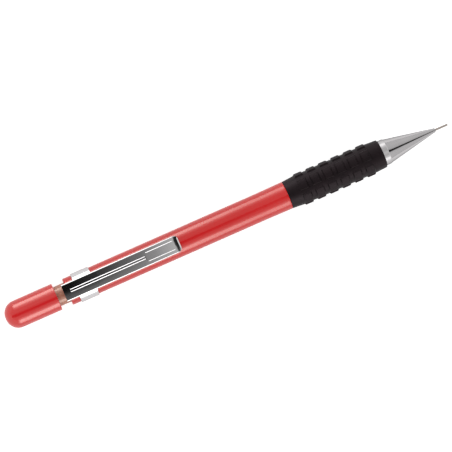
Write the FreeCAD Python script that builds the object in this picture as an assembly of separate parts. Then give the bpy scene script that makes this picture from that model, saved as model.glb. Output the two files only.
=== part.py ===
"""Mechanical drafting pencil (lead holder) with a fixed lead sleeve and a push cap.

Millimetres. The pencil lies along X with its writing end at the origin and its cap
towards +X. The pocket clip is on the +Z side. Every place along the pencil is a
distance from the writing end.
"""
import FreeCAD, Part
import math
import os

from FreeCAD import Vector

# Overall sizes; the thickness follows from the lead tube and the barrel's wall
overall_length = 144.0
tube_radius = 3.075
barrel_wall = 0.95

# Clearances: turning or sliding fits, guides, pressed joints, end faces and free room
running_gap = 0.05
guide_gap = 0.1
press_gap = 0.01
face_gap = 0.04
free_gap = 0.25

# Travels
push_travel = 2.6
feed_travel = 0.6

# Lead and lead sleeve
lead_radius = 0.25
lead_gap = 0.02
lead_length = 60.0
sleeve_wall = 0.08
sleeve_reach = 4.0
sleeve_depth = 5.2
spare_leads = 3
spare_lead_spread_degrees = 25.0

# Tip cone
cone_nose_radius = 0.62
cone_nose_round = 0.2
cone_length = 15.8
collar_length = 1.8
collar_bevel = 0.12
collar_step = 0.16
collar_lip = 0.15
spigot_wall = 0.6
spigot_length = 5.5

# Clutch parts inside the cone
retainer_radius = 1.3
retainer_length = 3.4
chuck_front_room = 1.0
chuck_length = 26.0
jaw_count = 3
jaw_radius = 1.5
jaw_bevel = 0.2
jaw_length = 1.4
jaw_taper_length = 2.6
jaw_grip_length = 4.5
neck_radius = 0.9
neck_bore_gap = 0.18
slit_width = 0.24
slit_length = 13.0
ring_setback = 0.9
ring_length = 2.0
ring_seat = 0.2

# Fixed guide sleeve of the clutch and its spring
guide_wall = 0.3
guide_length = 22.6
guide_lip_length = 1.2
guide_flange_length = 1.0
spring_wire_radius = 0.15
spring_turns = 11

# Lead tube and the joint that ties it to the chuck
tube_wall = 0.675
joint_collar_length = 2.5
joint_plug_length = 7.0
joint_socket_length = 5.0
joint_mouth_wall = 0.2

# Barrel
tube_bore_gap = 0.175
tail_wall = 0.5
tail_bore_cone = 1.1
bush_wall = 0.4
grip_flare = 0.1
grip_flare_length = 8.0
barrel_edge_round = 0.25

# Rubber grip
grip_length = 30.9
grip_wall = 0.8
grip_front_wall = 0.6
grip_rear_wall = 0.5
grip_front_collar = 3.9
grip_rear_collar = 3.8
grip_edge_round = 0.2
pad_height = 0.38
pad_slope = 0.3
pad_rings = 6
pads_around = 6
ring_groove = 1.2
pad_groove_degrees = 15.0
pad_slope_degrees = 4.0
pad_turn_degrees = 14.0

# Pocket clip
clip_sheet = 0.3
clip_length = 37.3
clip_width = 5.2
clip_rear_overhang = 1.2
clip_height = 1.5
clip_bend_gap = 1.5
clip_dish = 0.06
clip_inner_bend = 0.04
clip_flange_depth = 1.5
clip_plan_round = 1.3
clip_bow_drop = 0.85
clip_nose_radius = 2.2
clip_nose_reach = 1.5
band_setback = 2.7
band_length = 5.7
band_thickness = 0.4
band_seam = 0.5
band_edge_round = 0.12
rib_width = 0.9
rib_height = 0.22
rib_flank = 0.16
rib_end_round = 0.44
rib_rear_gap = 1.9
pad_width = 2.85
pad_length = 9.3
pad_front_gap = 1.6
pad_rise = 0.22
pad_flank = 0.2
pad_corner = 0.7
cap_sweep_gap = 0.15

# Cap
cap_step = 0.01
cap_length = 16.5
cap_stop_room = 0.85
cap_dome_length = 3.9
cap_socket_length = 7.4
cap_seat_step = 0.035
cap_dome_wall = 1.9
cap_edge_round = 0.15
vent_radius = 0.35

# Eraser, ferrule and cleaning needle
ferrule_wall = 0.13
ferrule_depth = 5.4
ferrule_rim_setback = 0.225
ferrule_rim_length = 0.35
eraser_length = 10.4
eraser_edge_round = 0.3
needle_radius = 0.2
needle_length = 13.0

# Radii that follow, from the lead outwards
lead_bore_radius = lead_radius + lead_gap
sleeve_radius = lead_bore_radius + sleeve_wall
neck_bore_radius = lead_bore_radius + neck_bore_gap
joint_throat_radius = neck_bore_radius + running_gap
jaw_bore_radius = jaw_radius + free_gap
ring_radius = jaw_bore_radius + ring_seat
guide_radius = ring_radius + guide_gap
guide_bore_radius = guide_radius - guide_wall
spring_mean_radius = (neck_radius + guide_bore_radius) / 2
cone_bore_radius = guide_radius + running_gap
spigot_radius = cone_bore_radius + spigot_wall
bush_bore_radius = spigot_radius + running_gap
guide_flange_radius = bush_bore_radius - guide_gap
bush_radius = bush_bore_radius + bush_wall
guide_room_radius = guide_radius + free_gap
tube_bore_radius = tube_radius - tube_wall
tube_room_radius = tube_radius + tube_bore_gap
barrel_radius = tube_room_radius + barrel_wall
cap_radius = barrel_radius - cap_step
tail_radius = max(tube_room_radius, bush_radius + press_gap) + tail_wall
grip_bore_radius = tail_radius + press_gap
grip_valley_radius = grip_bore_radius + grip_wall
pad_radius = grip_valley_radius + pad_height
collar_radius = tail_radius + collar_lip
cone_end_radius = collar_radius - collar_step
ferrule_radius = tube_bore_radius - press_gap
ferrule_rim_radius = tube_radius - ferrule_rim_setback
eraser_radius = ferrule_radius - ferrule_wall - press_gap
cap_room_radius = tube_radius - cap_seat_step

# Places along the pencil that follow
cone_start = sleeve_reach
collar_start = cone_start + cone_length
shoulder = collar_start + collar_length
spigot_end = shoulder + spigot_length
barrel_front = shoulder + face_gap
grip_rear = shoulder + grip_length
handle_front = grip_rear + face_gap
cap_front = overall_length - cap_length
barrel_rear = cap_front - push_travel - cap_stop_room
retainer_start = sleeve_reach + sleeve_depth + face_gap
retainer_rear = retainer_start + retainer_length
chuck_front = retainer_rear + push_travel + chuck_front_room
jaw_shoulder = chuck_front + jaw_length
neck_start = jaw_shoulder + jaw_taper_length
chuck_rear = chuck_front + chuck_length
ring_start = jaw_shoulder + ring_setback
ring_rear = ring_start + ring_length
ring_stop = ring_start - feed_travel - guide_gap
guide_front = ring_rear + face_gap
guide_rear = guide_front + guide_length
flange_start = spigot_end + face_gap
flange_rear = flange_start + guide_flange_length
spring_front = guide_front + guide_lip_length + face_gap
joint_front = chuck_rear - joint_socket_length
spring_rear = joint_front - face_gap
joint_collar_front = guide_rear + push_travel + face_gap
tail_bore_rear = joint_collar_front - push_travel - free_gap
tube_front = joint_collar_front + joint_collar_length
joint_plug_rear = tube_front + joint_plug_length
tube_rear = cap_front + cap_socket_length - guide_gap
ferrule_rear = tube_rear + face_gap
ferrule_front = ferrule_rear - ferrule_depth
eraser_front = ferrule_front + ferrule_wall
eraser_rear = eraser_front + eraser_length
spare_lead_front = joint_plug_rear + free_gap
spare_lead_length = min(lead_length, ferrule_front - free_gap - spare_lead_front)
band_end = barrel_rear - band_setback
band_start = band_end - band_length

# Side view of the clip: a straight rear, a gentle bow down and a rounded nose
clip_rear = barrel_rear + clip_rear_overhang
clip_front = clip_rear - clip_length
clip_bend = band_start - clip_bend_gap
clip_base = barrel_radius + clip_height
clip_edge_round = clip_sheet + clip_inner_bend
clip_reach = clip_base + clip_height
clip_bow_length = clip_bend - clip_front - clip_nose_reach
clip_bow_radius = clip_bow_length ** 2 / (2 * clip_bow_drop)
clip_bow_angle = math.asin(clip_bow_length / clip_bow_radius)
clip_nose_height = clip_height - clip_bow_drop - face_gap
clip_nose_angle = math.acos(math.cos(clip_bow_angle) - clip_nose_height / clip_nose_radius)

AXIS = Vector(1, 0, 0)
ORIGIN = Vector(0, 0, 0)
DIAGONAL = math.sqrt(0.5)


def at(x, radius):
    """Point of a turned outline: a distance along the pencil and a radius."""
    return Vector(x, 0, radius)


def closed_face(points, bends):
    """Flat face from outline points in order.

    bends maps the number of an outline side to a point that its arc passes through.
    """
    sides = []
    for number, start in enumerate(points):
        end = points[(number + 1) % len(points)]
        if number in bends:
            sides.append(Part.Arc(start, bends[number], end).toShape())
        else:
            sides.append(Part.LineSegment(start, end).toShape())
    return Part.Face(Part.Wire(sides))


def turned(points, bends=None):
    """Solid of revolution about the pencil's axis."""
    return closed_face(points, bends or {}).revolve(ORIGIN, AXIS, 360)


def rod(start, end, radius):
    return Part.makeCylinder(radius, end - start, Vector(start, 0, 0), AXIS)


def tube(start, end, outer, inner):
    return rod(start, end, outer).cut(rod(start, end, inner))


def spread(shape, count, first=0.0):
    """Copies of a shape, evenly spaced around the pencil's axis."""
    copies = []
    for number in range(count):
        copy = shape.copy()
        copy.rotate(ORIGIN, AXIS, first + 360.0 * number / count)
        copies.append(copy)
    return copies


def fused(shapes):
    whole = shapes[0].multiFuse(shapes[1:]) if len(shapes) > 1 else shapes[0]
    return whole.removeSplitter()


def ring_edges(shape, x, radius):
    """The circular edges of a turned shape at one place and radius."""
    found = []
    for edge in shape.Edges:
        curve = edge.Curve
        if not isinstance(curve, Part.Circle):
            continue
        if abs(curve.Center.x - x) < 1e-4 and abs(curve.Radius - radius) < 1e-4:
            found.append(edge)
    return found


def lead_sleeve():
    """Thin tube that guides the lead; its tail is pressed into the nose of the cone."""
    pressed_radius = sleeve_radius - press_gap
    outline = [
        at(0, lead_bore_radius),
        at(0, sleeve_radius),
        at(sleeve_reach, sleeve_radius),
        at(sleeve_reach, pressed_radius),
        at(sleeve_reach + sleeve_depth, pressed_radius),
        at(sleeve_reach + sleeve_depth, lead_bore_radius),
    ]
    return turned(outline)


def tip_cone():
    """Turned metal cone with a bright collar and a threaded spigot behind it."""
    nose_slope = (cone_end_radius - cone_nose_radius) / cone_length
    nose_flank = at(cone_start + cone_nose_round, cone_nose_radius + nose_slope * cone_nose_round)
    nose_face_radius = cone_nose_radius - cone_nose_round
    nose_middle = at(
        cone_start + cone_nose_round * (1 - DIAGONAL),
        nose_face_radius + cone_nose_round * DIAGONAL,
    )
    outline = [
        at(cone_start, 0),
        at(cone_start, nose_face_radius),
        nose_flank,
        at(collar_start, cone_end_radius),
        at(collar_start, collar_radius - collar_bevel),
        at(collar_start + collar_bevel, collar_radius),
        at(shoulder - collar_bevel, collar_radius),
        at(shoulder, collar_radius - collar_bevel),
        at(shoulder, spigot_radius),
        at(spigot_end, spigot_radius),
        at(spigot_end, 0),
    ]
    body = turned(outline, {1: nose_middle})
    bores = [
        rod(cone_start, retainer_start, sleeve_radius),
        rod(retainer_start, chuck_front, retainer_radius + press_gap),
        rod(retainer_rear, ring_stop, jaw_bore_radius),
        rod(ring_stop, spigot_end, cone_bore_radius),
    ]
    return body.cut(fused(bores))


def lead_retainer():
    """Rubber ring that holds the lead while the jaws are open."""
    return tube(retainer_start, retainer_rear, retainer_radius, lead_bore_radius)


def front_bush():
    """Brass bush in the barrel's tail that takes the cone's thread."""
    return tube(barrel_front, flange_rear, bush_radius, bush_bore_radius)


def chuck():
    """Brass jaws with a long slit neck; the jaws flare towards the writing end."""
    outline = [
        at(chuck_front, lead_bore_radius),
        at(chuck_front, jaw_radius - jaw_bevel),
        at(chuck_front + jaw_bevel, jaw_radius),
        at(jaw_shoulder, jaw_radius),
        at(neck_start, neck_radius),
        at(chuck_rear, neck_radius),
        at(chuck_rear, neck_bore_radius),
        at(chuck_front + jaw_grip_length, neck_bore_radius),
        at(chuck_front + jaw_grip_length, lead_bore_radius),
    ]
    corner = Vector(chuck_front, -slit_width / 2, 0)
    slit = Part.makeBox(slit_length, slit_width, jaw_bore_radius, corner)
    return turned(outline).cut(fused(spread(slit, jaw_count)))


def chuck_ring():
    """Ring with a tapered bore that closes the jaws when they are drawn back."""
    slope = (jaw_radius - neck_radius) / jaw_taper_length
    mouth = jaw_radius - slope * (ring_start - jaw_shoulder) + running_gap
    throat = neck_radius + running_gap
    outline = [
        at(ring_start, mouth),
        at(ring_start, ring_radius),
        at(ring_rear, ring_radius),
        at(ring_rear, throat),
        at(neck_start, throat),
    ]
    return turned(outline)


def mechanism_sleeve():
    """Fixed guide sleeve: its lip stops the ring and carries the return spring."""
    outline = [
        at(guide_front, neck_radius + guide_gap),
        at(guide_front, guide_radius),
        at(flange_start, guide_radius),
        at(flange_start, guide_flange_radius),
        at(flange_rear, guide_flange_radius),
        at(flange_rear, guide_radius),
        at(guide_rear, guide_radius),
        at(guide_rear, guide_bore_radius),
        at(guide_front + guide_lip_length, guide_bore_radius),
        at(guide_front + guide_lip_length, neck_radius + guide_gap),
    ]
    return turned(outline)


def return_spring():
    """Compression spring between the guide sleeve's lip and the tube joint."""
    free_length = spring_rear - spring_front - 2 * spring_wire_radius
    pitch = free_length / spring_turns
    path = Part.makeHelix(pitch, free_length, spring_mean_radius)
    section = Part.Wire(
        Part.Circle(
            Vector(spring_mean_radius, 0, 0),
            Vector(0, 2 * math.pi * spring_mean_radius, pitch),
            spring_wire_radius,
        ).toShape()
    )
    coil = Part.Wire(path).makePipeShell([section], True, True)
    coil.rotate(ORIGIN, Vector(0, 1, 0), 90)
    coil.translate(Vector(spring_front + spring_wire_radius, 0, 0))
    return coil


def tube_joint():
    """Plastic plug that holds the chuck's neck and the lead tube, with a lead funnel."""
    nose_radius = guide_bore_radius - guide_gap
    plug_radius = tube_bore_radius - press_gap
    outline = [
        at(joint_front, neck_radius + press_gap),
        at(joint_front, nose_radius),
        at(joint_collar_front, nose_radius),
        at(joint_collar_front, tube_radius - guide_gap),
        at(tube_front, tube_radius - guide_gap),
        at(tube_front, plug_radius),
        at(joint_plug_rear, plug_radius),
        at(joint_plug_rear, plug_radius - joint_mouth_wall),
        at(tube_front, joint_throat_radius),
        at(chuck_rear, joint_throat_radius),
        at(chuck_rear, neck_radius + press_gap),
    ]
    return turned(outline)


def lead_tube():
    """Long translucent tube that stores the spare leads and carries the cap."""
    return tube(tube_front, tube_rear, tube_radius, tube_bore_radius)


def writing_lead():
    """The lead in use, level with the end of its sleeve."""
    return rod(0, lead_length, lead_radius)


def spare_lead(number):
    """A loose lead lying on the lower wall of the lead tube."""
    drop = tube_bore_radius - lead_radius - lead_gap
    start = Vector(spare_lead_front, 0, -drop)
    shape = Part.makeCylinder(lead_radius, spare_lead_length, start, AXIS)
    turn = spare_lead_spread_degrees * (number - (spare_leads + 1) / 2)
    shape.rotate(ORIGIN, AXIS, turn)
    return shape


def barrel():
    """One-piece barrel: a thin tail under the grip and the round glossy handle."""
    outline = [
        at(barrel_front, bush_radius + press_gap),
        at(barrel_front, tail_radius),
        at(handle_front, tail_radius),
        at(handle_front, barrel_radius + grip_flare),
        at(handle_front + grip_flare_length, barrel_radius),
        at(barrel_rear, barrel_radius),
        at(barrel_rear, tube_room_radius),
        at(tail_bore_rear, tube_room_radius),
        at(tail_bore_rear - tail_bore_cone, guide_room_radius),
        at(flange_rear, guide_room_radius),
        at(flange_rear, bush_radius + press_gap),
    ]
    body = turned(outline)
    rims = ring_edges(body, handle_front, barrel_radius + grip_flare)
    rims += ring_edges(body, barrel_rear, barrel_radius)
    return body.makeFillet(barrel_edge_round, rims)


def grip_groove():
    """Long groove between two columns of pads, with sloping sides."""
    floor = math.radians(pad_groove_degrees / 2)
    rim = math.radians(pad_groove_degrees / 2 + pad_slope_degrees)
    floor_half = grip_valley_radius * math.sin(floor)
    floor_height = grip_valley_radius * math.cos(floor)
    rim_half = pad_radius * math.sin(rim)
    rim_height = pad_radius * math.cos(rim)
    slope = (rim_half - floor_half) / (rim_height - floor_height)
    top_height = pad_radius + pad_height
    top_half = floor_half + slope * (top_height - floor_height)
    start = shoulder + grip_front_collar
    length = grip_length - grip_front_collar - grip_rear_collar
    corners = [
        Vector(start, 0, 0),
        Vector(start, -floor_half, floor_height),
        Vector(start, -top_half, top_height),
        Vector(start, top_half, top_height),
        Vector(start, floor_half, floor_height),
    ]
    wedge = closed_face(corners, {}).extrude(Vector(length, 0, 0))
    return wedge.cut(rod(start, start + length, grip_valley_radius))


def rubber_grip():
    """Soft sleeve with two plain collars and rings of raised pads between them."""
    first_pad = shoulder + grip_front_collar
    last_pad = grip_rear - grip_rear_collar
    pitch = (last_pad - first_pad + ring_groove) / pad_rings
    outline = [
        at(barrel_front, grip_bore_radius),
        at(barrel_front, grip_bore_radius + grip_front_wall),
    ]
    for number in range(pad_rings):
        start = first_pad + pitch * number
        end = start + pitch - ring_groove
        outline += [
            at(start, grip_valley_radius),
            at(start + pad_slope, pad_radius),
            at(end - pad_slope, pad_radius),
            at(end, grip_valley_radius),
        ]
    outline += [
        at(grip_rear, grip_bore_radius + grip_rear_wall),
        at(grip_rear, grip_bore_radius),
    ]
    sleeve = turned(outline)
    front_rim = ring_edges(sleeve, barrel_front, grip_bore_radius + grip_front_wall)
    sleeve = sleeve.makeFillet(grip_edge_round, front_rim)
    grooves = spread(grip_groove(), pads_around, -pad_turn_degrees)
    return sleeve.cut(Part.makeCompound(grooves))


def clip_section(filled):
    """Cross-section of the clip's sheet: a slightly dished plate with turned-down flanges."""
    half = clip_width / 2
    inner = half - clip_sheet
    top = clip_base + clip_sheet
    edge = top + clip_dish
    flange = top - clip_flange_depth
    corner = half - clip_edge_round
    diagonal = clip_edge_round * DIAGONAL
    bend = edge - clip_edge_round
    points = [
        Vector(clip_bend, -half, flange),
        Vector(clip_bend, -half, bend),
        Vector(clip_bend, -corner, edge),
        Vector(clip_bend, corner, edge),
        Vector(clip_bend, half, bend),
        Vector(clip_bend, half, flange),
    ]
    bends = {
        1: Vector(clip_bend, -corner - diagonal, bend + diagonal),
        2: Vector(clip_bend, 0, top),
        3: Vector(clip_bend, corner + diagonal, bend + diagonal),
    }
    if not filled:
        points += [
            Vector(clip_bend, inner, flange),
            Vector(clip_bend, inner, bend),
            Vector(clip_bend, corner, edge - clip_sheet),
            Vector(clip_bend, -corner, edge - clip_sheet),
            Vector(clip_bend, -inner, bend),
            Vector(clip_bend, -inner, flange),
        ]
        bends[8] = Vector(clip_bend, 0, clip_base)
    return closed_face(points, bends)


def ridge_section(width, height, flank):
    """Cross-section of a raised rib or pad on the clip's plate."""
    top = clip_base + clip_sheet
    root = clip_base + clip_sheet / 2
    half = width / 2
    points = [
        Vector(clip_bend, -half, root),
        Vector(clip_bend, -half, top),
        Vector(clip_bend, -half + flank, top + height),
        Vector(clip_bend, half - flank, top + height),
        Vector(clip_bend, half, top),
        Vector(clip_bend, half, root),
    ]
    return closed_face(points, {})


def along_clip(section):
    """Sweeps a cross-section along the clip: straight, gently bowed, then the nose."""
    across = Vector(0, 1, 0)
    bow_centre = Vector(clip_bend, 0, clip_base - clip_bow_radius)
    bow_degrees = math.degrees(clip_bow_angle)
    nose_centre = Vector(
        clip_bend - (clip_bow_radius - clip_nose_radius) * math.sin(clip_bow_angle),
        0,
        bow_centre.z + (clip_bow_radius - clip_nose_radius) * math.cos(clip_bow_angle),
    )
    rear = section.extrude(Vector(clip_rear - clip_bend, 0, 0))
    bow = section.revolve(bow_centre, across, -bow_degrees)
    nose_section = section.copy()
    nose_section.rotate(bow_centre, across, -bow_degrees)
    nose_degrees = math.degrees(clip_nose_angle - clip_bow_angle)
    nose = nose_section.revolve(nose_centre, across, -nose_degrees)
    return fused([rear, bow, nose])


def plan_slab(start, end, width, corner):
    """Upright slab whose plan is a rectangle with rounded corners."""
    slab = Part.makeBox(end - start, width, clip_reach, Vector(start, -width / 2, 0))
    upright = [edge for edge in slab.Edges if edge.BoundBox.ZLength > clip_reach / 2]
    return slab.makeFillet(corner, upright)


def clip_band():
    """Band that wraps round the barrel, with its seam opposite the plate."""
    inner = barrel_radius + press_gap
    outer = inner + band_thickness
    half_gap = clip_width / 2 - clip_sheet
    band = tube(band_start, band_end, outer, inner)
    rims = ring_edges(band, band_start, outer) + ring_edges(band, band_end, outer)
    band = band.makeFillet(band_edge_round, rims)
    top = Vector(band_start, -half_gap, 0)
    channel = Part.makeBox(band_length, 2 * half_gap, clip_reach, top)
    bottom = Vector(band_start, -band_seam / 2, -clip_reach)
    seam = Part.makeBox(band_length, band_seam, clip_reach, bottom)
    return band.cut(fused([channel, seam]))


def clip_cheek(inner_side):
    """Side wall from the plate's flange down into the band, from y = inner_side."""
    low = math.sqrt(barrel_radius ** 2 - (clip_width / 2) ** 2)
    high = clip_base + clip_sheet + clip_dish - clip_edge_round
    return Part.makeBox(band_length, clip_sheet, high - low, Vector(band_start, inner_side, low))


def clip_rib():
    """Narrow stiffening rib on the plate's centre line, behind the pad."""
    rib = along_clip(ridge_section(rib_width, rib_height, rib_flank))
    start = clip_front + pad_front_gap + pad_length + face_gap
    return rib.common(plan_slab(start, clip_rear - rib_rear_gap, rib_width, rib_end_round))


def clip_pad():
    """Raised pad near the clip's nose."""
    pad = along_clip(ridge_section(pad_width, pad_rise, pad_flank))
    start = clip_front + pad_front_gap
    return pad.common(plan_slab(start, start + pad_length, pad_width, pad_corner))


def pocket_clip():
    """One-piece sheet-metal clip: plate, flanges, rear lip, rib, pad and band."""
    outline_rear = clip_rear + 2 * clip_plan_round
    outline = plan_slab(clip_front, outline_rear, clip_width, clip_plan_round)
    plate = along_clip(clip_section(False)).common(outline)
    lip = clip_section(True).extrude(Vector(clip_sheet, 0, 0))
    lip.translate(Vector(clip_rear - clip_sheet - clip_bend, 0, 0))
    cheeks = [clip_cheek(side) for side in (-clip_width / 2, clip_width / 2 - clip_sheet)]
    whole = fused([plate, lip, clip_rib(), clip_pad(), clip_band()] + cheeks)
    whole = whole.cut(rod(clip_front, barrel_rear, barrel_radius + press_gap))
    return whole.cut(rod(barrel_rear, clip_rear, cap_radius + cap_sweep_gap))


def cap():
    """Push cap: socket for the lead tube, room for the eraser, domed end and vent."""
    dome_start = overall_length - cap_dome_length
    dome_centre = cap_radius - cap_dome_length
    room_end = overall_length - cap_dome_wall
    inner_dome = cap_room_radius - vent_radius
    socket_rear = cap_front + cap_socket_length
    outline = [
        at(cap_front, tube_radius + press_gap),
        at(cap_front, cap_radius),
        at(dome_start, cap_radius),
        at(overall_length, dome_centre),
        at(overall_length, 0),
        at(room_end, 0),
        at(room_end, vent_radius),
        at(room_end - inner_dome, cap_room_radius),
        at(socket_rear, cap_room_radius),
        at(socket_rear, tube_radius + press_gap),
    ]
    bends = {
        2: at(dome_start + cap_dome_length * DIAGONAL, dome_centre + cap_dome_length * DIAGONAL),
        6: at(room_end - inner_dome * (1 - DIAGONAL), vent_radius + inner_dome * DIAGONAL),
    }
    shell = turned(outline, bends)
    shell = shell.cut(rod(room_end - free_gap, overall_length, vent_radius))
    return shell.makeFillet(cap_edge_round, ring_edges(shell, cap_front, cap_radius))


def eraser_ferrule():
    """Thin metal cup with a rim that seats on the rear end of the lead tube."""
    inner = ferrule_radius - ferrule_wall
    hole = needle_radius + press_gap
    outline = [
        at(ferrule_front, hole),
        at(ferrule_front, ferrule_radius),
        at(ferrule_rear, ferrule_radius),
        at(ferrule_rear, ferrule_rim_radius),
        at(ferrule_rear + ferrule_rim_length, ferrule_rim_radius),
        at(ferrule_rear + ferrule_rim_length, inner),
        at(eraser_front, inner),
        at(eraser_front, hole),
    ]
    return turned(outline)


def eraser():
    """Small eraser standing in its ferrule."""
    body = rod(eraser_front, eraser_rear, eraser_radius)
    return body.makeFillet(eraser_edge_round, ring_edges(body, eraser_rear, eraser_radius))


def cleaning_needle():
    """Wire that clears the lead sleeve, held in the ferrule's floor."""
    return rod(ferrule_front - needle_length, eraser_front, needle_radius)


def write_parts(shapes):
    """Writes each named piece to its own STEP file and says what it holds."""
    os.makedirs("parts", exist_ok=True)
    for name, shape in shapes.items():
        shape.exportStep("parts/" + name + ".step")
        print(name, len(shape.Solids), "solids", round(shape.Volume, 2), "mm3", shape.isValid())


def pieces():
    """Every separate piece of the pencil by name."""
    named = {
        "barrel": barrel(),
        "front_bush": front_bush(),
        "rubber_grip": rubber_grip(),
        "pocket_clip": pocket_clip(),
        "mechanism_sleeve": mechanism_sleeve(),
        "return_spring": return_spring(),
        "tip_cone": tip_cone(),
        "lead_sleeve": lead_sleeve(),
        "lead_retainer": lead_retainer(),
        "chuck": chuck(),
        "chuck_ring": chuck_ring(),
        "tube_joint": tube_joint(),
        "lead_tube": lead_tube(),
        "writing_lead": writing_lead(),
        "cap": cap(),
        "eraser": eraser(),
        "eraser_ferrule": eraser_ferrule(),
        "cleaning_needle": cleaning_needle(),
    }
    for number in range(1, spare_leads + 1):
        named["spare_lead_" + str(number)] = spare_lead(number)
    return named


write_parts(pieces())
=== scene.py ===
import math

import bpy
from mathutils import Matrix, Vector


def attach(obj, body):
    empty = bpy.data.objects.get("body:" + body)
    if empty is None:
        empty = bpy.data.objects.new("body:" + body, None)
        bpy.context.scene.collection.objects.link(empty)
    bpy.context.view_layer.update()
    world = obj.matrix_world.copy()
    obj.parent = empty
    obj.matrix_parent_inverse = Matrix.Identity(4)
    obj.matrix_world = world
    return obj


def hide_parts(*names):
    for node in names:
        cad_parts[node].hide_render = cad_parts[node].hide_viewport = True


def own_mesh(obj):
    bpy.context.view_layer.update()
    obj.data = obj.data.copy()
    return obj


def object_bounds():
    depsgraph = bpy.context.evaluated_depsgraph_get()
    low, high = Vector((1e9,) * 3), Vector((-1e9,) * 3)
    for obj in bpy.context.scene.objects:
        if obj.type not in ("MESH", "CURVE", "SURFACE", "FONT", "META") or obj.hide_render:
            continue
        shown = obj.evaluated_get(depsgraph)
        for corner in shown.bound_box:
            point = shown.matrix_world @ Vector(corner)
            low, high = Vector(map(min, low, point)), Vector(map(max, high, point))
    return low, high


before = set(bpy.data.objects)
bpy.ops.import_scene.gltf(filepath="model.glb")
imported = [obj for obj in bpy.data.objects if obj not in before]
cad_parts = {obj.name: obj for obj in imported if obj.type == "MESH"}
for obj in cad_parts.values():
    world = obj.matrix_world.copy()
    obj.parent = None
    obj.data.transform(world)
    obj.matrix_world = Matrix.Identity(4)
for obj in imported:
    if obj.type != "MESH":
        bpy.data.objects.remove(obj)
cad_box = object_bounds()

MM = 0.001

# How the pencil lies in the picture
VIEW_TILT = math.radians(4.0)
PENCIL_RISE = math.radians(23.8)
FRAME_WIDTH = 134.55 * MM
AIM_STATION = 71.9 * MM
AIM_RIGHT = -0.57 * MM
AIM_DOWN = 1.4 * MM
CAMERA_DISTANCE = 1.1
SENSOR_WIDTH = 36.0

# Studio, in metres and in shares of white
FLOOR_SIZE = 6.0
FLOOR_COLOUR = (0.9, 0.9, 0.9, 1)
FLOOR_ROUGHNESS = 0.9
FLOOR_GLOSS = 0.1
FLOOR_GLOW = 0.55
FLOOR_GLOW_IN_METAL = 0.12
ROOM_LEVEL = 1.0
TENT_RADIUS = 0.6
TENT_LENGTH = 2.4
TENT_SEGMENTS = 96
TENT_PEAK = 4.0

# Dark slot along the tent's top: its centre, where it is fully dark and where its soft edge ends.
# The part that the cone reflects has its own width, and changes to the rest between two places.
SLOT_CENTRE = math.radians(6)
SLOT_HALF = math.radians(5)
SLOT_EDGE = math.radians(22)
TIP_SLOT_HALF = math.radians(11)
TIP_SLOT_EDGE = math.radians(17)
TIP_SLOT_END = -0.2
SLOT_START = -0.05

# Levels in the tent, as (place, level). Around it, 0 and 1 are its two lower edges and 0.5 is its top.
# Along it, 0 and 1 are half a span from the writing end, and 1 is towards the cap.
TENT_HALF_SPAN = 0.4
PLAIN_LEVELS = [(0.0, 0.75), (0.25, 0.75), (0.5, 0.62), (0.75, 0.75), (1.0, 0.75)]
BAND_LEVELS = [
    (0.0, 1.3), (0.04, 3.0), (0.13, 3.0), (0.20, 0.8), (0.30, 0.0),
    (0.70, 0.0), (0.78, 0.8), (0.83, 3.0), (0.92, 3.0), (1.0, 1.3),
]
BAND_SHARE_ALONG = [(0.4, 0.0), (0.6, 1.45), (0.75, 1.45), (0.93, 0.1)]
SLOT_LEVELS_ALONG = [
    (0.1, 0.02), (0.25, 0.05), (0.44, 0.9), (0.5, 0.4),
    (0.525, 0.25), (0.595, 0.08), (0.613, 0.055), (0.627, 0.0),
]

# Gloss and edge sheen of the polished plastic
PLASTIC_IOR = 1.7
PLASTIC_GLOSS_TINT = (1.0, 0.94, 0.86, 1)
SHEEN_ROUGHNESS = 0.35
SHEEN_TINT = (1.0, 0.58, 0.5, 1)

# Depth of the fine relief on plastic, turned metal, sheet metal, lead and rubber
PEEL_DEPTH = 0.004 * MM
RING_DEPTH = 0.004 * MM
POLISH_DEPTH = 0.002 * MM
DRAWN_DEPTH = 0.003 * MM
RUBBER_GRAIN = 0.02 * MM


def new_material(name):
    """A node material with its own empty Principled shader."""
    material = bpy.data.materials.new(name)
    material.use_nodes = True
    return material, material.node_tree.nodes, material.node_tree.links


def shader_of(nodes):
    return nodes["Principled BSDF"]


def object_space(nodes, links, scale=(1, 1, 1)):
    """Object coordinates in metres, stretched by scale."""
    place = nodes.new("ShaderNodeTexCoord")
    mapping = nodes.new("ShaderNodeMapping")
    mapping.inputs["Scale"].default_value = scale
    links.new(place.outputs["Object"], mapping.inputs["Vector"])
    return mapping.outputs["Vector"]


def noise(nodes, links, vector, scale, detail=3.0, roughness=0.5):
    texture = nodes.new("ShaderNodeTexNoise")
    texture.inputs["Scale"].default_value = scale
    texture.inputs["Detail"].default_value = detail
    texture.inputs["Roughness"].default_value = roughness
    links.new(vector, texture.inputs["Vector"])
    return texture.outputs["Fac"]


def ramp(nodes, links, value, stops):
    """Colour ramp from (position, colour) stops."""
    node = nodes.new("ShaderNodeValToRGB")
    elements = node.color_ramp.elements
    while len(elements) < len(stops):
        elements.new(0.5)
    for element, (position, colour) in zip(elements, stops):
        element.position = position
        element.color = (*colour, 1)
    links.new(value, node.inputs["Fac"])
    return node.outputs["Color"]


def grey(level):
    return (level, level, level)


def math_of(nodes, links, operation, first, second=None):
    """Maths on sockets or plain numbers."""
    node = nodes.new("ShaderNodeMath")
    node.operation = operation
    for socket, value in zip(node.inputs, (first, second)):
        if isinstance(value, bpy.types.NodeSocket):
            links.new(value, socket)
        elif value is not None:
            socket.default_value = value
    return node.outputs["Value"]


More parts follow.
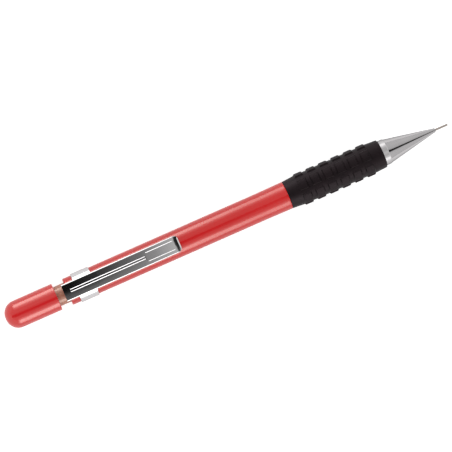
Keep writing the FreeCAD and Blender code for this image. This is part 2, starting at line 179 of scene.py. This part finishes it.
def mapped(nodes, links, value, from_low, from_high, to_low, to_high):
    """Maps a value linearly between two ranges and clamps it."""
    node = nodes.new("ShaderNodeMapRange")
    node.inputs["From Min"].default_value = from_low
    node.inputs["From Max"].default_value = from_high
    node.inputs["To Min"].default_value = to_low
    node.inputs["To Max"].default_value = to_high
    links.new(value, node.inputs["Value"])
    return node.outputs["Result"]


def mixed(nodes, links, share, first, second):
    """Blend of two values: the first at share 0, the second at share 1."""
    node = nodes.new("ShaderNodeMix")
    node.data_type = "FLOAT"
    links.new(share, node.inputs["Factor"])
    links.new(first, node.inputs[2])
    links.new(second, node.inputs[3])
    return node.outputs[0]


def spread_of(nodes, links, value, low, high):
    """Maps a 0 to 1 value to the range from low to high."""
    return mapped(nodes, links, value, 0, 1, low, high)


def bump(nodes, links, height, distance, strength=1.0):
    node = nodes.new("ShaderNodeBump")
    node.inputs["Distance"].default_value = distance
    node.inputs["Strength"].default_value = strength
    links.new(height, node.inputs["Height"])
    return node.outputs["Normal"]


def moulded_plastic(name, colour, roughness, variation=0.04, rim=0.0):
    """Polished moulded plastic: faint flow marks, fine dust scratches and slight orange peel."""
    material, nodes, links = new_material(name)
    shader = shader_of(nodes)
    along = object_space(nodes, links, (0.35, 1, 1))
    flow = noise(nodes, links, along, scale=160, detail=4)
    darker = tuple(c * (1 - variation) for c in colour)
    lighter = tuple(min(1.0, c * (1 + variation)) for c in colour)
    tint = ramp(nodes, links, flow, [(0.3, darker), (0.7, lighter)])
    links.new(tint, shader.inputs["Base Color"])
    scratch_space = object_space(nodes, links, (0.12, 1, 1))
    scratches = noise(nodes, links, scratch_space, scale=2600, detail=2, roughness=0.7)
    worn = spread_of(nodes, links, scratches, roughness * 0.8, roughness * 1.35)
    links.new(worn, shader.inputs["Roughness"])
    peel = noise(nodes, links, object_space(nodes, links), scale=900, detail=2)
    relief = bump(nodes, links, peel, distance=PEEL_DEPTH, strength=0.5)
    links.new(relief, shader.inputs["Normal"])
    shader.inputs["IOR"].default_value = PLASTIC_IOR
    shader.inputs["Specular Tint"].default_value = PLASTIC_GLOSS_TINT
    shader.inputs["Sheen Weight"].default_value = rim
    shader.inputs["Sheen Roughness"].default_value = SHEEN_ROUGHNESS
    shader.inputs["Sheen Tint"].default_value = SHEEN_TINT
    return material


def turned_metal(name, colour, roughness, edge=1.0):
    """Turned and plated metal: fine rings round the axis and a soft, uneven sheen."""
    material, nodes, links = new_material(name)
    shader = shader_of(nodes)
    ring_space = object_space(nodes, links, (1, 0.01, 0.01))
    rings = noise(nodes, links, ring_space, scale=5200, detail=2, roughness=0.6)
    cloud = noise(nodes, links, object_space(nodes, links), scale=240, detail=4)
    darker = tuple(c * 0.95 for c in colour)
    tint = ramp(nodes, links, cloud, [(0.3, darker), (0.7, colour)])
    links.new(tint, shader.inputs["Base Color"])
    worn = spread_of(nodes, links, rings, roughness * 0.8, roughness * 1.3)
    links.new(worn, shader.inputs["Roughness"])
    relief = bump(nodes, links, rings, distance=RING_DEPTH, strength=0.6)
    links.new(relief, shader.inputs["Normal"])
    shader.inputs["Metallic"].default_value = 1.0
    shader.inputs["Specular Tint"].default_value = (edge, edge, edge, 1)
    return material


def sheet_metal(name, colour, roughness):
    """Plated sheet steel: long fine polishing lines and a few soft smudges."""
    material, nodes, links = new_material(name)
    shader = shader_of(nodes)
    line_space = object_space(nodes, links, (0.02, 1, 1))
    lines = noise(nodes, links, line_space, scale=6000, detail=2, roughness=0.6)
    smudge = noise(nodes, links, object_space(nodes, links), scale=190, detail=3)
    darker = tuple(c * 0.94 for c in colour)
    tint = ramp(nodes, links, smudge, [(0.25, darker), (0.7, colour)])
    links.new(tint, shader.inputs["Base Color"])
    worn = spread_of(nodes, links, smudge, roughness * 0.7, roughness * 1.4)
    links.new(worn, shader.inputs["Roughness"])
    relief = bump(nodes, links, lines, distance=POLISH_DEPTH, strength=0.5)
    links.new(relief, shader.inputs["Normal"])
    shader.inputs["Metallic"].default_value = 1.0
    return material


def soft_rubber(name, colour, roughness, gloss=0.5, tint=(1.0, 1.0, 1.0)):
    """Moulded rubber: fine grain, slight bloom and dull handling marks."""
    material, nodes, links = new_material(name)
    shader = shader_of(nodes)
    space = object_space(nodes, links)
    bloom = noise(nodes, links, space, scale=210, detail=5, roughness=0.6)
    darker = tuple(c * 0.8 for c in colour)
    lighter = tuple(min(1.0, c * 1.25) for c in colour)
    shade = ramp(nodes, links, bloom, [(0.3, darker), (0.75, lighter)])
    links.new(shade, shader.inputs["Base Color"])
    worn = spread_of(nodes, links, bloom, roughness * 0.9, roughness * 1.1)
    links.new(worn, shader.inputs["Roughness"])
    fine = noise(nodes, links, space, scale=4200, detail=3, roughness=0.6)
    relief = bump(nodes, links, fine, distance=RUBBER_GRAIN, strength=0.7)
    links.new(relief, shader.inputs["Normal"])
    shader.inputs["Specular IOR Level"].default_value = gloss
    shader.inputs["Specular Tint"].default_value = (*tint, 1)
    return material


def translucent_plastic(name, colour, roughness):
    """Translucent tube plastic that glows a little from inside."""
    material = moulded_plastic(name, colour, roughness, variation=0.05)
    shader = shader_of(material.node_tree.nodes)
    shader.inputs["Subsurface Weight"].default_value = 0.35
    shader.inputs["Subsurface Radius"].default_value = (1.0, 0.5, 0.35)
    shader.inputs["Subsurface Scale"].default_value = 1.2 * MM
    return material


def graphite(name):
    """Extruded lead: dark grey with a faint metallic gloss and drawn lines."""
    material, nodes, links = new_material(name)
    shader = shader_of(nodes)
    lines = noise(nodes, links, object_space(nodes, links, (0.05, 1, 1)), scale=7000, detail=2)
    tint = ramp(nodes, links, lines, [(0.3, grey(0.035)), (0.7, grey(0.07))])
    links.new(tint, shader.inputs["Base Color"])
    relief = bump(nodes, links, lines, distance=DRAWN_DEPTH, strength=0.6)
    links.new(relief, shader.inputs["Normal"])
    shader.inputs["Metallic"].default_value = 0.4
    shader.inputs["Roughness"].default_value = 0.38
    return material


def make_materials():
    """One material for each CAD node, by node name."""
    red = moulded_plastic("red_barrel", (0.57, 0.002, 0.005), 0.1, rim=0.32)
    cap_red = moulded_plastic("red_cap", (0.62, 0.014, 0.017), 0.1, rim=0.34)
    rubber = soft_rubber(
        "black_grip", (0.0065, 0.0032, 0.0040), 0.46, gloss=0.19, tint=(1.0, 0.84, 0.9)
    )
    brass = turned_metal("brass_turned", (0.78, 0.55, 0.24), 0.24)
    lead = graphite("graphite_lead")
    materials = {
        "barrel": red,
        "cap": cap_red,
        "rubber_grip": rubber,
        "pocket_clip": sheet_metal("clip_plated", (0.66, 0.65, 0.655), 0.09),
        "tip_cone": turned_metal("cone_plated", (0.57, 0.555, 0.56), 0.1, edge=0.45),
        "lead_sleeve": turned_metal("sleeve_steel", (0.42, 0.37, 0.34), 0.28),
        "lead_tube": translucent_plastic("tube_tan", (0.45, 0.18, 0.115), 0.2),
        "front_bush": brass,
        "chuck": brass,
        "chuck_ring": brass,
        "mechanism_sleeve": moulded_plastic("guide_black", (0.03, 0.03, 0.032), 0.35),
        "tube_joint": moulded_plastic("joint_ivory", (0.68, 0.65, 0.58), 0.38),
        "return_spring": turned_metal("spring_steel", (0.55, 0.55, 0.56), 0.25),
        "lead_retainer": soft_rubber("retainer_rubber", (0.03, 0.028, 0.026), 0.6),
        "eraser": soft_rubber("eraser_white", (0.84, 0.83, 0.80), 0.75),
        "eraser_ferrule": turned_metal("ferrule_metal", (0.82, 0.82, 0.83), 0.2),
        "cleaning_needle": turned_metal("needle_steel", (0.6, 0.6, 0.6), 0.2),
    }
    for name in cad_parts:
        if name.endswith("lead") or name.startswith("spare_lead"):
            materials[name] = lead
    return materials


def dress(materials):
    """Gives each CAD node its material."""
    for name, material in materials.items():
        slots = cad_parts[name].data.materials
        slots.clear()
        slots.append(material)


def make_spring():
    """Return spring as its own copy of the CAD wire, carried on the pencil body in place of the hidden
    CAD node.
    """
    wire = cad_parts["return_spring"]
    spring = bpy.data.objects.new("return_spring_coil", wire.data.copy())
    bpy.context.collection.objects.link(spring)
    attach(spring, "pencil_body")
    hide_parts("return_spring")
    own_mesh(spring)


def flat_square(name, size):
    """A flat square in the XY plane, centred on its own origin."""
    half = size / 2
    mesh = bpy.data.meshes.new(name)
    corners = [(-half, -half, 0), (half, -half, 0), (half, half, 0), (-half, half, 0)]
    mesh.from_pydata(corners, [], [(0, 1, 2, 3)])
    piece = bpy.data.objects.new(name, mesh)
    bpy.context.collection.objects.link(piece)
    return piece


def make_floor(height):
    """Plain white floor that keeps the soft shadow under the pencil."""
    floor = flat_square("floor", FLOOR_SIZE)
    floor.location.z = height
    material, nodes, links = new_material("floor_white")
    shader = shader_of(nodes)
    shader.inputs["Base Color"].default_value = FLOOR_COLOUR
    shader.inputs["Roughness"].default_value = FLOOR_ROUGHNESS
    shader.inputs["Specular IOR Level"].default_value = FLOOR_GLOSS
    path = nodes.new("ShaderNodeLightPath")
    seen = math_of(nodes, links, "MULTIPLY", path.outputs["Is Camera Ray"], FLOOR_GLOW)
    reflected = math_of(nodes, links, "MULTIPLY", path.outputs["Is Glossy Ray"], FLOOR_GLOW_IN_METAL)
    glow = nodes.new("ShaderNodeEmission")
    links.new(math_of(nodes, links, "ADD", seen, reflected), glow.inputs["Strength"])
    both = nodes.new("ShaderNodeAddShader")
    links.new(shader.outputs["BSDF"], both.inputs[0])
    links.new(glow.outputs["Emission"], both.inputs[1])
    links.new(both.outputs["Shader"], nodes["Material Output"].inputs["Surface"])
    floor.data.materials.append(material)


def half_pipe(name, radius, length, segments):
    """Half a pipe around the X axis, open below."""
    points = []
    for number in range(segments + 1):
        angle = math.pi * (number / segments - 0.5)
        for end in (-length / 2, length / 2):
            points.append((end, radius * math.sin(angle), radius * math.cos(angle)))
    faces = [(2 * n, 2 * n + 1, 2 * n + 3, 2 * n + 2) for n in range(segments)]
    mesh = bpy.data.meshes.new(name)
    mesh.from_pydata(points, [], faces)
    piece = bpy.data.objects.new(name, mesh)
    bpy.context.collection.objects.link(piece)
    return piece


def level_ramp(nodes, links, value, stops):
    """Brightness from (place, level) stops, each level a share of the tent's peak."""
    return ramp(nodes, links, value, [(place, grey(level / TENT_PEAK)) for place, level in stops])


def tent_light(nodes, links):
    """Brightness of the tent around and along the pencil.

    Two long bright bands stand at its sides, brighter towards the cap. A dark slot runs along
    the top, with a soft edge, and lightens towards the writing end.
    """
    place = nodes.new("ShaderNodeTexCoord")
    split = nodes.new("ShaderNodeSeparateXYZ")
    links.new(place.outputs["Object"], split.inputs["Vector"])
    angle = math_of(nodes, links, "ARCTAN2", split.outputs["Y"], split.outputs["Z"])
    around = mapped(nodes, links, angle, -math.pi / 2, math.pi / 2, 0, 1)
    along = mapped(nodes, links, split.outputs["X"], -TENT_HALF_SPAN, TENT_HALF_SPAN, 0, 1)
    plain = level_ramp(nodes, links, around, PLAIN_LEVELS)
    bands = level_ramp(nodes, links, around, BAND_LEVELS)
    band_ramp = level_ramp(nodes, links, along, BAND_SHARE_ALONG)
    band_share = math_of(nodes, links, "MULTIPLY", band_ramp, TENT_PEAK)
    sides = math_of(nodes, links, "MULTIPLY", bands, band_share)
    lit = math_of(nodes, links, "ADD", plain, sides)
    off_centre = math_of(nodes, links, "SUBTRACT", angle, SLOT_CENTRE)
    offset = math_of(nodes, links, "ABSOLUTE", off_centre)
    station = split.outputs["X"]
    half = mapped(nodes, links, station, TIP_SLOT_END, SLOT_START, TIP_SLOT_HALF, SLOT_HALF)
    edge = mapped(nodes, links, station, TIP_SLOT_END, SLOT_START, TIP_SLOT_EDGE, SLOT_EDGE)
    slot = nodes.new("ShaderNodeMapRange")
    slot.interpolation_type = "SMOOTHSTEP"
    links.new(half, slot.inputs["From Min"])
    links.new(edge, slot.inputs["From Max"])
    links.new(offset, slot.inputs["Value"])
    slot_level = level_ramp(nodes, links, along, SLOT_LEVELS_ALONG)
    shade = mixed(nodes, links, slot.outputs["Result"], slot_level, lit)
    glow = nodes.new("ShaderNodeEmission")
    links.new(math_of(nodes, links, "MULTIPLY", shade, TENT_PEAK), glow.inputs["Strength"])
    links.new(glow.outputs["Emission"], nodes["Material Output"].inputs["Surface"])


def make_tent():
    """Light tent over the pencil that only reflections see."""
    tent = half_pipe("light_tent", TENT_RADIUS, TENT_LENGTH, TENT_SEGMENTS)
    tent.visible_camera = False
    tent.visible_diffuse = False
    tent.visible_shadow = False
    tent.visible_transmission = False
    tent.visible_volume_scatter = False
    material, nodes, links = new_material("tent_light")
    nodes.remove(shader_of(nodes))
    tent_light(nodes, links)
    tent.data.materials.append(material)


def make_world():
    """Even white room light, which the camera sees as white."""
    world = bpy.data.worlds.new("room")
    bpy.context.scene.world = world
    world.use_nodes = True
    room = world.node_tree.nodes["Background"]
    room.inputs["Strength"].default_value = ROOM_LEVEL
    room.inputs["Color"].default_value = (1, 1, 1, 1)


def make_camera():
    """Camera almost straight above the clip, leaning a little towards the cap."""
    away = Vector((math.sin(VIEW_TILT), 0, math.cos(VIEW_TILT)))
    towards_tip = Vector((-math.cos(VIEW_TILT), 0, math.sin(VIEW_TILT)))
    beside = away.cross(towards_tip)
    right = towards_tip * math.cos(PENCIL_RISE) - beside * math.sin(PENCIL_RISE)
    up = towards_tip * math.sin(PENCIL_RISE) + beside * math.cos(PENCIL_RISE)
    target = Vector((AIM_STATION, 0, 0)) + right * AIM_RIGHT - up * AIM_DOWN
    camera_data = bpy.data.cameras.new("camera")
    camera_data.sensor_width = SENSOR_WIDTH
    camera_data.lens = SENSOR_WIDTH * CAMERA_DISTANCE / FRAME_WIDTH
    camera = bpy.data.objects.new("camera", camera_data)
    bpy.context.collection.objects.link(camera)
    camera.matrix_world = Matrix.Translation(target + away * CAMERA_DISTANCE) @ Matrix(
        (right, up, away)
    ).transposed().to_4x4()
    bpy.context.scene.camera = camera


dress(make_materials())
make_spring()
make_floor(cad_box[0][2])
make_tent()
make_world()
make_camera()
bpy.context.scene.view_settings.view_transform = "Standard"
